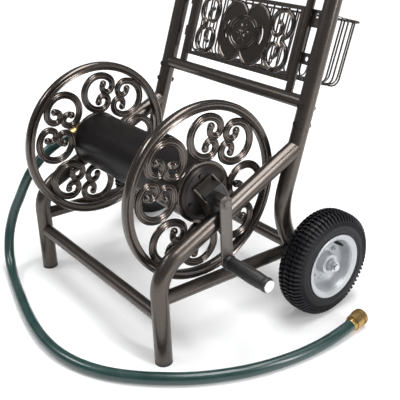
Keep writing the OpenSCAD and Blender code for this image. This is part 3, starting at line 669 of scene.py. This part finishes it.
class CART_OT_hose(bpy.types.Operator):
    """Lays the leader hose along its route"""

    bl_idname = "cart.hose"
    bl_label = "Leader Hose"

    def execute(self, context):
        points = [at(*(v * MM for v in p)) for p in HOSE_POINTS]
        data = bpy.data.curves.new("leader_hose", "CURVE")
        data.dimensions = "3D"
        data.resolution_u = data.render_resolution_u = 5
        data.bevel_depth = sizes().hose / 2
        data.bevel_resolution = 7
        data.use_fill_caps = True
        line = data.splines.new("BEZIER")
        line.bezier_points.add(len(points) - 1)
        for k, p in enumerate(points):
            before, after = points[max(k - 1, 0)], points[min(k + 1, len(points) - 1)]
            way = (after - before).normalized()
            if k == 0:
                way = Vector((0, -cos(EXIT_DROP), -sin(EXIT_DROP)))
            if k == len(points) - 1:
                way = Vector((-sin(END_TURN), cos(END_TURN), 0))
            b = line.bezier_points[k]
            b.co = p
            b.handle_left_type = b.handle_right_type = "FREE"
            b.handle_left = p - way * (p - before).length / 3
            b.handle_right = p + way * (after - p).length / 3
        obj = bpy.data.objects.new("leader_hose", data)
        context.collection.objects.link(obj)
        finish_piece(obj, "cart", "hose_vinyl", "hose")
        bpy.ops.cart.couplings()
        return {"FINISHED"}


def end_frame():
    """Frame at the hose's free end, z running out of the hose."""
    z = Vector((-sin(END_TURN), cos(END_TURN), 0))
    x = Vector((cos(END_TURN), sin(END_TURN), 0))
    y = z.cross(x)
    m = Matrix((x, y, z)).transposed().to_4x4()
    return Matrix.Translation(at(*(v * MM for v in HOSE_POINTS[-1]))) @ m


def scaled(profile):
    return [(r * MM, h * MM) for r, h in profile]


class CART_OT_couplings(bpy.types.Operator):
    """Turns the brass ferrule and the knurled swivel ring at the hose's free end"""

    bl_idname = "cart.couplings"
    bl_label = "Brass Coupling"

    def execute(self, context):
        ferrule = [(6, 0), (11.0, 0), (11.5, 0.8), (11.5, 2), (11.1, 2.6), (11.1, 3.4), (11.8, 4), (12, 5.4),
                   (11.5, 6), (11.5, 6.6), (12.3, 7.4), (12.3, 13.2), (13.5, 13.2), (13.5, 16.6), (6, 16.6)]
        piece = lathe("coupling_ferrule", scaled(ferrule), 40, end_frame())
        finish_piece(piece, "cart", "brass", "coupling_tail")
        ring = [(12.4, 8.5), (14, 8.5), (14.6, 9.3), (14.8, 17), (14.9, 22), (14.3, 23), (14.3, 24.2),
                (15.1, 25), (15.2, 32.6), (14.6, 33.4), (14.6, 34.6), (15.5, 35.2), (15.5, 37.4),
                (15, 38), (13.6, 38), (13.2, 37), (13.2, 20), (13.8, 20), (13.8, 12.9), (12.4, 12.9)]
        body = lathe("ring_body", scaled(ring), 48)
        clear_selection()
        bpy.ops.mesh.primitive_cube_add(size=1)
        rib = context.active_object
        open_mesh(rib)
        bpy.ops.transform.resize(value=RIB_SIZE)
        bpy.ops.transform.translate(value=RIB_PLACE)
        bpy.ops.mesh.bevel(offset=0.0003, segments=1, affect="EDGES")
        ring_of(rib, RING_RIBS)
        thread = helix("ring_thread", 0.0129, 0.0205, 0.037, 0.0022, 0.0006)
        piece = settle(join("coupling_ring", [body, rib, thread]), end_frame(), 30)
        finish_piece(piece, "coupling", "brass", "coupling_nut")
        return {"FINISHED"}


def helix(name, radius, low, high, pitch, thickness, per_turn=20):
    """A thread ridge, as a rod along a screw line."""
    n = int((high - low) / pitch * per_turn)
    angles = [2 * pi * k / per_turn for k in range(n + 1)]
    pts = [(radius * cos(a), radius * sin(a), low + pitch * k / per_turn) for k, a in enumerate(angles)]
    return rod_from_line(draw_line(name, pts), thickness, 1)


def ring_of(obj, n):
    """Copies all of an open mesh n times round z and closes it."""
    bpy.ops.mesh.select_all(action="SELECT")
    bpy.ops.mesh.spin(steps=n - 1, dupli=True, angle=2 * pi * (n - 1) / n, center=(0, 0, 0), axis=(0, 0, 1))
    close_mesh()
    return obj


# ---- reel discs ----
# Half a scroll: radius in millimetres, sweep in degrees and number of steps of each arc
ARCS = [(36.8, 112, 12), (18.0, 84, 9), (11.6, 186, 14)]
SCROLL_THICK = 0.0085
# Scroll pairs: degrees of the first round the disc and on itself, radius of the middles, half the width
PAIR_ANGLE, PAIR_TURN, PAIR_R, PAIR_HALF = 62.5, -84, 0.097, 0.0695
HUB_SEAT = 0.004


def scroll_half():
    """Middle line of half a scroll, from its back into the curl: millimetres, and headings in degrees."""
    p, h, out = Vector((0, 0)), 90.0, [((0.0, 0.0), 90.0)]
    for r, sweep, n in ARCS:
        c = p + Vector((sin(radians(h)), -cos(radians(h)))) * r
        for k in range(1, n + 1):
            a = radians(h - sweep * k / n)
            q = c + Vector((-sin(a), cos(a))) * r
            out.append(((q.x, q.y), h - sweep * k / n))
        p, h = q, h - sweep
    return out


def section_curve(name, points):
    """A closed outline used as the section of a rod."""
    obj = draw_line(name, [(x, y, 0) for x, y in points], closed=True)
    close_mesh()
    pick(obj)
    bpy.ops.object.convert(target="CURVE")
    return bpy.context.active_object


def make_scroll_along(name, line, widths, width, thick, ball):
    """A ridged band along a line in metres, with a ball on each end."""
    w, t = width / 2, thick / 2
    right = [(0, 1), (0.2, 0.9), (0.38, 0.62), (0.58, 0.86), (0.8, 0.76), (1, 0.3)]
    upper = [(-x, y) for x, y in right[:0:-1]] + right
    outline = [(x * w, y * t) for x, y in upper] + [(x * w, -y * t) for x, y in upper[::-1]]
    section = section_curve(name + "_section", outline)
    rod = rod_from_line(draw_line(name, [(x, y, 0) for x, y in line]), 0, widths=widths, section=section)
    bpy.data.objects.remove(section)
    balls = []
    for x, y in (line[0], line[-1]):
        clear_selection()
        bpy.ops.mesh.primitive_uv_sphere_add(segments=20, ring_count=12, radius=width * ball,
                                             location=(x, y, 0))
        b = bpy.context.active_object
        b.scale = (1, 1, min(1.0, thick * 0.62 / (width * ball)))
        bpy.ops.object.transform_apply(location=True, rotation=True, scale=True)
        balls.append(b)
    return fix_normals(join(name, [rod] + balls))


def make_scroll(name, width, thick, taper=0.84, ball=0.5):
    """One C scroll lying in the xy plane with its back at the origin, opening towards +x."""
    half = scroll_half()
    line = [(x, -y) for (x, y), h in half[:0:-1]] + [(x, y) for (x, y), h in half]
    n = len(half) - 1
    widths = [1 - (1 - taper) * abs(k - n) / n for k in range(2 * n + 1)]
    return make_scroll_along(name, scaled(line), widths, width, thick, ball)


def turn_z(angle):
    return Matrix.Rotation(angle, 4, "Z")


class CART_OT_reel_discs(bpy.types.Operator):
    """Casts the two reel discs: grooved rim, eight ridged scrolls in four pairs, and the hub flange"""

    bl_idname = "cart.reel_discs"
    bl_label = "Reel Discs"

    def execute(self, context):
        scroll = make_scroll("scroll", sizes().scroll_width, SCROLL_THICK)
        parts = []
        for k in range(4):
            m = turn_z(radians(PAIR_ANGLE + 90 * k)) @ Matrix.Translation((PAIR_R, 0, 0))
            m = m @ turn_z(radians(PAIR_TURN))
            for flip in (0, pi):
                parts.append(copy_of(scroll, m @ turn_z(flip) @ Matrix.Translation((-PAIR_HALF, 0, 0))))
        bpy.data.objects.remove(scroll)
        r = DISC_R / MM
        rim = [(r - 17, -4.5), (r - 16.2, -6.6), (r - 14.4, -8), (r - 12.4, -7.6), (r - 11, -6),
               (r - 8.5, -5.4), (r - 6, -6), (r - 4.6, -7.6), (r - 2.8, -8), (r - 0.9, -6.4), (r, -3.6)]
        rim = rim + [(a, -b) for a, b in rim[::-1]]
        parts.append(lathe("rim", scaled(rim), 112))
        flange = [(12.2, -4), (56.5, -4), (57.6, -3), (57.6, 3.2), (56.8, 4.2), (54, 4.4), (52.5, 4),
                  (12.2, 4)]
        parts.append(lathe("flange", scaled(flange), 72))
        disc = join("disc", parts)
        for side, way, _ in SIDES:
            piece = copy_of(disc, Matrix.Translation(at(way * DISC_X, 0, REEL.z)) @ CYCLE)
            piece.name = "scroll_disc_" + side
            settle(piece, Matrix.Identity(4), 42)
            finish_piece(piece, "reel", "cast_paint", "reel_disc_" + side)
        bpy.data.objects.remove(disc)
        return {"FINISHED"}


class CART_OT_hubs(bpy.types.Operator):
    """Turns the black hub covers"""

    bl_idname = "cart.hubs"
    bl_label = "Hub Covers"

    def execute(self, context):
        cover = [(12.3, 0), (51, 0), (51, 2.2), (50, 3.4), (47.4, 4), (46, 5), (45.2, 6.6), (43.6, 7.4),
                 (30, 9.4), (24, 10), (12.3, 10)]
        for side, way, m in SIDES:
            place = Matrix.Translation(at(way * (DISC_X + HUB_SEAT), 0, REEL.z)) @ m
            piece = lathe("hub_cover_" + side, scaled(cover), 64, place, angle=40)
            finish_piece(piece, "reel", "hub_paint", "hub_cap_" + side)
        return {"FINISHED"}


# ---- wheels ----
LUG_TAPER = (1, 0.86, 0.94)
TREAD_INSET = 0.15    # how far the lugs' tops stay inside the tyre's own radius, in millimetres
# Wheel bolts and slots of the rim: degrees of the first one, and distance from the axle
BOLT_ANGLE, BOLT_R = 35, 0.0325
SLOT_ANGLE, SLOT_R = 80, 0.034


def tyre_profile():
    """Section of the tyre under its lugs: (radius, height) from its middle plane, in millimetres."""
    half = [(52, 24), (61.5, 24.2), (63.6, 25.4), (66, 26.6), (70, 27.2), (76, 27.6), (82, 27), (88, 25.2),
            (92.5, 22), (95.5, 18), (97.4, 12), (98.2, 6), (98.4, 0)]
    return half + [(r, -h) for r, h in half[-2::-1]]


def lug_ring(points, depth, n):
    """A ring of n tread lugs: an outline on the tread, pushed out to its height, both in millimetres."""
    obj = draw_line("lug", [tuple(v * MM for v in p) for p in points], closed=True)
    push_out(tuple(v * MM for v in depth))
    bpy.ops.transform.resize(value=LUG_TAPER)
    face_outwards()
    return ring_of(obj, n)


def wheel_pair(part, name, slot, node, angle):
    """Puts a copy of a wheel's piece on both wheels."""
    for side, way, m in SIDES:
        piece = copy_of(part, Matrix.Translation(at(way * WHEEL_X, AXLE.y - SHIFT.y, AXLE.z)) @ m)
        piece.name = name + side
        settle(piece, Matrix.Identity(4), angle)
        finish_piece(piece, "wheel_" + side, slot, node + side)
    bpy.data.objects.remove(part)


class CART_OT_tyres(bpy.types.Operator):
    """Moulds the two tyres with their zigzag tread and side ribs"""

    bl_idname = "cart.tyres"
    bl_label = "Tyres"

    def execute(self, context):
        n = sizes().lug_count
        top = TYRE_R / MM - TREAD_INSET
        w = 2 * pi / n * top
        parts = [lathe("carcass", scaled(tyre_profile()), 96)]
        for sign in (1, -1):
            shift = 0 if sign > 0 else w / 2
            foot = [(97.2, shift - w * 0.3, 10 * sign), (97.2, shift + w * 0.22, 10 * sign),
                    (95.2, shift + w * 0.34, 18.5 * sign), (95.2, shift - w * 0.2, 18.5 * sign)]
            parts.append(lug_ring(foot, (top - 97.4, 0, 0), n))
            side = [(96.6, shift - w * 0.28, 17 * sign), (96.6, shift + w * 0.3, 17 * sign),
                    (87.5, shift + w * 0.22, 24.6 * sign), (87.5, shift - w * 0.2, 24.6 * sign)]
            parts.append(lug_ring(side, (3.6, 0, 2.6 * sign), n))
            rib = [(86.8, -0.8, 25.4 * sign), (86.8, 0.8, 25.4 * sign), (80.5, 0.7, 27 * sign),
                   (80.5, -0.7, 27 * sign)]
            parts.append(lug_ring(rib, (0.6, 0, 1.1 * sign), n * 2))
        mid = [(97.9, -w * 0.28, -1), (97.9, w * 0.1, -8), (97.9, w * 0.42, -6.6), (97.9, w * 0.06, 0.6),
               (97.9, w * 0.42, 7.4), (97.9, w * 0.1, 8.6)]
        parts.append(lug_ring(mid, (top - 97.9, 0, 0), n))
        line = [(71.5, 27.3), (71.5, 28.2), (72.6, 28.4), (73.2, 27.4)]
        for sign in (1, -1):
            parts.append(lathe("bead_line", [(r * MM, h * MM * sign * 0.985) for r, h in line], 96))
        wheel_pair(join("tyre", parts), "tread_tyre_", "tyre_rubber", "tyre_", 32)
        return {"FINISHED"}


class CART_OT_rims(bpy.types.Operator):
    """Presses the silver rims: rolled lip, dished web with bolts and slots, and the hub barrel"""

    bl_idname = "cart.rims"
    bl_label = "Rims"

    def execute(self, context):
        back = [(13, -30), (19, -30), (20, -29), (20, -3.4), (30, -3.8), (43, -4.8), (44.6, -6.4),
                (45.4, -16), (47, -21.5), (50, -24), (56, -25), (60, -26.6), (62.6, -28.4), (63.8, -27.6),
                (63.2, -26), (61.4, -24.4), (60, -24), (52.2, -23.4)]
        lip = [(51.8, 23.4), (60, 24), (61.4, 24.4), (63.2, 26), (63.8, 27.6), (62.8, 28.4), (60.8, 28.2),
               (57, 26.4), (53.4, 25), (51, 23), (49.6, 19)]
        dish = [(48.2, 8), (47, 3), (44.4, 0.4), (36, -0.4), (25, 0), (22, 0.8), (20.8, 2.6),
                (20.3, 15.2), (19.2, 16.7), (13, 17)]
        parts = [lathe("rim_body", scaled(back + lip + dish), 80)]
        bolt = [(0, -1), (5, -1), (5, 2.2), (4.4, 3), (2.6, 3), (2.4, 6.4), (2, 6.8), (0, 6.8)]
        bolt = lathe("rim_bolt", scaled(bolt), 6)
        slot = lathe("slot_cap", scaled([(0, -1.2), (3.8, -1.2), (3.8, 0.5), (3, 0.9), (0, 0.9)]), 16)
        for k in range(4):
            turned = turn_z(radians(BOLT_ANGLE + 90 * k)) @ Matrix.Translation((BOLT_R, 0, 0))
            parts.append(copy_of(bolt, turned))
            place = turn_z(radians(SLOT_ANGLE + 90 * k)) @ Matrix.Translation((SLOT_R, 0, 0))
            parts.append(copy_of(slot, place @ Matrix.Diagonal((0.7, 2.1, 1, 1))))
        for o in (bolt, slot):
            bpy.data.objects.remove(o)
        wheel_pair(join("rim", parts), "dished_rim_", "rim_silver", "rim_", 35)
        return {"FINISHED"}


# ---- panel ----
PLATE_HALF, PLATE_X = 0.0435, 0.0315
# Border and dome of an oval plate: width and rise of each step inwards
PLATE_STEPS = ((0.0009, 0.0012), (0.0012, 0.0006), (0.0014, 0.0), (0.0012, -0.0008), (0.001, -0.0016),
               (0.005, 0.0005), (0.008, 0.0007), (0.01, 0.0004))
SLOT_OUTER, SLOT_INNER, SLOT_SQUEEZE = 0.0585, 0.0505, 0.72


def oval_plate(name, a, b, x, low, high):
    """A domed oval plate with a raised border."""
    clear_selection()
    bpy.ops.mesh.primitive_circle_add(vertices=72, radius=1, fill_type="NGON", location=(0, 0, 0))
    obj = bpy.context.active_object
    obj.name = name
    open_mesh(obj)
    bpy.ops.transform.resize(value=(a, b, 1))
    bpy.ops.transform.translate(value=(x, 0, low))
    bpy.ops.mesh.extrude_region_move(TRANSFORM_OT_translate={"value": (0, 0, high - low)})
    for thick, move in PLATE_STEPS:
        bpy.ops.mesh.inset(thickness=thick, depth=move)
    face_outwards()
    close_mesh()
    return obj


def side_scroll():
    """The scroll at the panel's upper right: a small curl at the middle, a big loop, and a curl inside it."""
    centre, r, curl, inner = Vector((0.1085, 0.0305)), 0.0275, 0.0075, 0.0135
    start, sweep = -66, 285
    pts, widths = [], []

    def ray(degrees):
        return Vector((cos(radians(degrees)), sin(radians(degrees))))

    for k in range(9):
        pts.append(centre + ray(start) * (r + curl) + ray(start - 180 + 150 * (1 - k / 9)) * curl)
        widths.append(0.72 + 0.2 * k / 9)
    for k in range(33):
        pts.append(centre + ray(start + sweep * k / 32) * r)
        widths.append(0.92 + 0.08 * sin(pi * k / 32))
    for k in range(1, 17):
        pts.append(centre + ray(start + sweep) * (r - inner) + ray(start + sweep + 215 * k / 16) * inner)
        widths.append(0.92 - 0.2 * k / 16)
    return make_scroll_along("side_scroll", [(p.x, p.y) for p in pts], widths, 0.0098, 0.0076, 0.52)


def slot_cutter(sign):
    """A curved bar that cuts the slot beside the boss."""
    pts = []
    for radius, way in ((SLOT_OUTER, 1), (SLOT_INNER, -1)):
        angles = [radians(v * way) for v in range(-28, 29, 4)]
        pts += [(sign * radius * cos(a), radius * SLOT_SQUEEZE * sin(a), -0.01) for a in angles]
    cut = draw_line("slot", pts, closed=True)
    push_out((0, 0, 0.03))
    face_outwards()
    close_mesh()
    return cut


def petal(k):
    """One petal of the flower that fills the middle of the medallion."""
    clear_selection()
    bpy.ops.mesh.primitive_uv_sphere_add(segments=16, ring_count=8, radius=1)
    obj = bpy.context.active_object
    open_mesh(obj)
    bpy.ops.transform.resize(value=(0.0085, 0.0042, 0.0016))
    bpy.ops.transform.translate(value=(0.0115, 0, 0.0036))
    close_mesh()
    return copy_and_drop(obj, turn_z(2 * pi * k / 6))


class CART_OT_panel(bpy.types.Operator):
    """Casts the panel: two overlapping ovals with a flower boss, and rounded scrolls at both sides"""

    bl_idname = "cart.panel"
    bl_label = "Medallion Panel"
    offset: size_value("Offset", "Place of the medallion across the panel", 0.006)

    def execute(self, context):
        b = (PANEL_H - PANEL_FRAME) / 2 - PANEL_GAP
        plates = [oval_plate("lobe_left", PLATE_HALF, b, -PLATE_X, -0.003, 0.0022),
                  oval_plate("lobe_right", PLATE_HALF, b, PLATE_X, -0.0028, 0.0024)]
        for sign, plate in ((-1, plates[0]), (1, plates[1])):
            cut = slot_cutter(sign)
            modify(plate, "BOOLEAN", operation="DIFFERENCE", object=cut, solver="EXACT")
            bpy.data.objects.remove(cut)
        boss = [(0, 0), (48, 0), (50.5, 3.4), (50, 5), (48.4, 5.8), (46.6, 5), (45.6, 3.6), (42.6, 3.2),
                (41.6, 4.4), (40.4, 4.8), (39.2, 4.2), (38.4, 3), (20, 3.5), (0, 3.7)]
        boss = lathe("boss", scaled(boss), 72, closed=False)
        boss = copy_and_drop(boss, Matrix.Diagonal((0.86, 0.7, 1, 1)))
        parts = plates + [boss] + [petal(k) for k in range(6)]
        clear_selection()
        bpy.ops.mesh.primitive_uv_sphere_add(segments=16, ring_count=8, radius=0.0035,
                                             location=(0, 0, 0.0038))
        bpy.ops.object.transform_apply(location=True, rotation=True, scale=True)
        parts.append(context.active_object)
        slide = Matrix.Translation((self.offset, 0, 0))
        parts = [copy_and_drop(o, slide) for o in parts]
        scroll = side_scroll()
        for sx in (1, -1):
            for sy in (1, -1):
                parts.append(copy_of(scroll, Matrix.Diagonal((sx, sy, 1, 1))))
        bpy.data.objects.remove(scroll)
        panel = join("medallion_panel", parts)
        open_mesh(panel)
        face_outwards()
        close_mesh()
        middle_up = PANEL_LOW + PANEL_H / 2
        settle(panel, on_handle() @ Matrix.Translation((0, middle_up, 0)), 38)
        finish_piece(panel, "cart", "cast_paint", "panel_casting")
        return {"FINISHED"}


# ---- basket ----
def bent_wire(name, corners, radius, bend, closed=False, sides=2):
    """A wire through its corners, each rounded by a bevel."""
    obj = draw_line(name, corners, closed)
    bpy.ops.mesh.select_mode(type="VERT")
    bpy.ops.mesh.select_all(action="DESELECT")
    close_mesh()
    last = len(corners) - 1
    for v in obj.data.vertices:
        v.select = closed or all((v.co - Vector(corners[k])).length > 1e-5 for k in (0, last))
    bpy.ops.object.mode_set(mode="EDIT")
    bpy.ops.mesh.bevel(offset=bend, segments=5, affect="VERTICES")
    return rod_from_line(obj, radius, sides)


class CART_OT_basket(bpy.types.Operator):
    """Bends the basket's rim and wires"""

    bl_idname = "cart.basket"
    bl_label = "Wire Basket"

    def execute(self, context):
        k, r = BASKET, sizes().wire / 2
        half, low, top, near, far = k["half"], k["low"], k["top"], k["near"], k["far"]
        corners = [(-half, top, near), (half, top, near), (half, top, far), (-half, top, far)]
        rim = bent_wire("basket_rim_wire", corners, RIM_WIRE_R, RIM_BEND, closed=True, sides=3)
        settle(rim, on_handle(), 40)
        finish_piece(rim, "cart", "basket_coat", "basket_rim")
        across = []
        for n in range(1, 18):
            x = -half + n * half / 9
            corners = [(x, top, near), (x, low, near), (x, low, far + 0.004), (x, top, far)]
            across.append(bent_wire("wire", corners, r, WIRE_BEND))
        wires = settle(join("basket_cross_wires", across), on_handle(), 40)
        finish_piece(wires, "cart", "basket_coat", "basket_front_wires", "basket_back_wires")
        along = []
        for n in range(1, 6):
            z = near - n * (near - far) / 6
            y = low - 2 * r
            corners = [(-half, top, z), (-half + 0.003, y, z), (half - 0.003, y, z), (half, top, z)]
            along.append(bent_wire("wire", corners, r, WIRE_BEND))
        wires = settle(join("basket_long_wires", along), on_handle(), 40)
        finish_piece(wires, "cart", "basket_coat", "basket_left_wires", "basket_right_wires",
                     "basket_floor_wires")
        return {"FINISHED"}


# ---- crank ----
class CART_OT_crank(bpy.types.Operator):
    """Forges the crank arm with rounded ends, its boss and its nut"""

    bl_idname = "cart.crank"
    bl_label = "Crank Arm"

    def execute(self, context):
        low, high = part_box("crank_arm")
        half = (high[1] - low[1]) / 2
        thick = high[0] - low[0]
        throw = high[2] - low[2] - 2 * half
        n = 20
        top = [(0, -cos(pi * k / n) * half, sin(pi * k / n) * half) for k in range(n + 1)]
        end = [(0, cos(pi * k / n) * half, -throw - sin(pi * k / n) * half) for k in range(n + 1)]
        arm = draw_line("crank_arm_bar", top + end, closed=True)
        push_out((thick, 0, 0))
        face_outwards()
        close_mesh()
        modify(arm, "BEVEL", width=0.0011, segments=3, limit_method="ANGLE", angle_limit=radians(50))
        turn = Matrix.Rotation(pi / 2, 4, "Y")
        hub = Matrix.Translation((thick, 0, 0)) @ turn
        foot = Matrix.Translation((thick, 0, -throw)) @ turn
        parts = [arm]
        for name, profile, sides, place in (
                ("boss", [(0, 0), (10.4, 0), (10.4, 1.2), (9.7, 2), (0, 2)], 36, hub),
                ("nut", [(0, 2), (8.6, 2), (8.6, 4.4), (7.6, 5.4), (5.8, 5.6), (5.4, 6.6), (0, 6.8)], 6, hub),
                ("foot", [(0, 0), (9, 0), (9, 0.9), (8.2, 1.4), (0, 1.4)], 32, foot)):
            parts.append(copy_and_drop(lathe(name, scaled(profile), sides), place))
        piece = join("crank_arm_bar", parts)
        settle(piece, Matrix.Translation((low[0], (low[1] + high[1]) / 2, REEL.z)), 40)
        finish_piece(piece, "reel", "crank_paint", "crank_arm", "crank_nut")
        return {"FINISHED"}


# ---- grips ----
class CART_OT_grips(bpy.types.Operator):
    """Moulds the crank grip and the foam sleeve on the push bar"""

    bl_idname = "cart.grips"
    bl_label = "Grips"

    def execute(self, context):
        low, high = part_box("crank_grip")
        start, length = low[0], high[0] - low[0]
        shape = [(10.6, 0), (13.2, 0), (14, 1), (14.1, 3.4), (13.2, 4.6), (12.4, 6), (12.2, 9)]
        ribs = []
        for n in range(24):
            h = 12 + n * 3.25
            bulge = 12.3 + 1.5 * sin(pi * min(1, max(0, (h - 8) / 84)) ** 1.35)
            ribs += [(bulge - 0.35, h), (bulge, h + 0.9), (bulge, h + 2.0), (bulge - 0.35, h + 2.9)]
        end = [(12.5, 91.5), (13.2, 93), (13.4, 96), (13, 98.6), (12, 99.8), (10.6, 100)]
        profile = [(r, h * length / 0.1) for r, h in shape + ribs + end]
        place = Matrix.Translation((start, low[1] + (high[1] - low[1]) / 2, (low[2] + high[2]) / 2)) @ CYCLE
        piece = lathe("crank_grip_sleeve", scaled(profile), 40, place, angle=50)
        finish_piece(piece, "grip", "grip_plastic", "crank_grip")
        low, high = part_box("handle_grip")
        half = (high[0] - low[0]) / 2
        foam = [(16.1, -half / MM), (17.4, -half / MM), (18.4, -half / MM + 1.2), (18.9, -half / MM + 3.4)]
        n = 14
        step = (2 * half / MM - 16) / n
        waves = [(18.95 + 0.1 * sin(k * 2.1), -half / MM + 8 + k * step) for k in range(n + 1)]
        profile = foam + waves + [(r, -h) for r, h in foam[::-1]]
        centre = (Vector(low) + Vector(high)) / 2
        piece = lathe("foam_push_grip", scaled(profile), 48, Matrix.Translation(centre) @ CYCLE, angle=50)
        finish_piece(piece, "cart", "foam", "handle_grip")
        return {"FINISHED"}


class CART_OT_finish_cad(bpy.types.Operator):
    """Gives every carried-over piece the finish of its slot"""

    bl_idname = "cart.finish_cad"
    bl_label = "Coats and Plating"

    def execute(self, context):
        for part in frame["record"]["subparts"]:
            obj = bpy.data.objects.get(part["node"])
            if obj is None:
                raise RuntimeError("no object for node " + part["node"])
            m = finish(part["material_slot"])
            if not obj.material_slots:
                obj.data.materials.append(m)
            for s in obj.material_slots:
                s.material = m
        return {"FINISHED"}


class CART_PT_panel(bpy.types.Panel):
    """Sizes, colours and pieces of the cart"""

    bl_idname = "CART_PT_panel"
    bl_label = "Hose Reel Cart"
    bl_space_type = "VIEW_3D"
    bl_region_type = "UI"
    bl_category = "Reel Cart"

    def draw(self, context):
        for settings in (context.scene.cart_sizes, context.scene.cart_colours):
            box = self.layout.box()
            for name in settings.__annotations__:
                box.prop(settings, name)
        for op in STEPS:
            self.layout.operator(op.bl_idname)


STEPS = [CART_OT_stage, CART_OT_hose, CART_OT_finish_cad, CART_OT_reel_discs, CART_OT_hubs, CART_OT_tyres,
         CART_OT_rims, CART_OT_panel, CART_OT_basket, CART_OT_crank, CART_OT_grips]
CLASSES = [CartSizes, CartColours, CART_OT_couplings] + STEPS + [CART_PT_panel]


def register():
    for c in CLASSES:
        bpy.utils.register_class(c)
    bpy.types.Scene.cart_sizes = PointerProperty(type=CartSizes)
    bpy.types.Scene.cart_colours = PointerProperty(type=CartColours)


def unregister():
    del bpy.types.Scene.cart_colours
    del bpy.types.Scene.cart_sizes
    for c in reversed(CLASSES):
        bpy.utils.unregister_class(c)


def main():
    register()
    for step in STEPS:
        group_name, name = step.bl_idname.split(".")
        getattr(getattr(bpy.ops, group_name), name)()


if __name__ == "__main__":
    main()
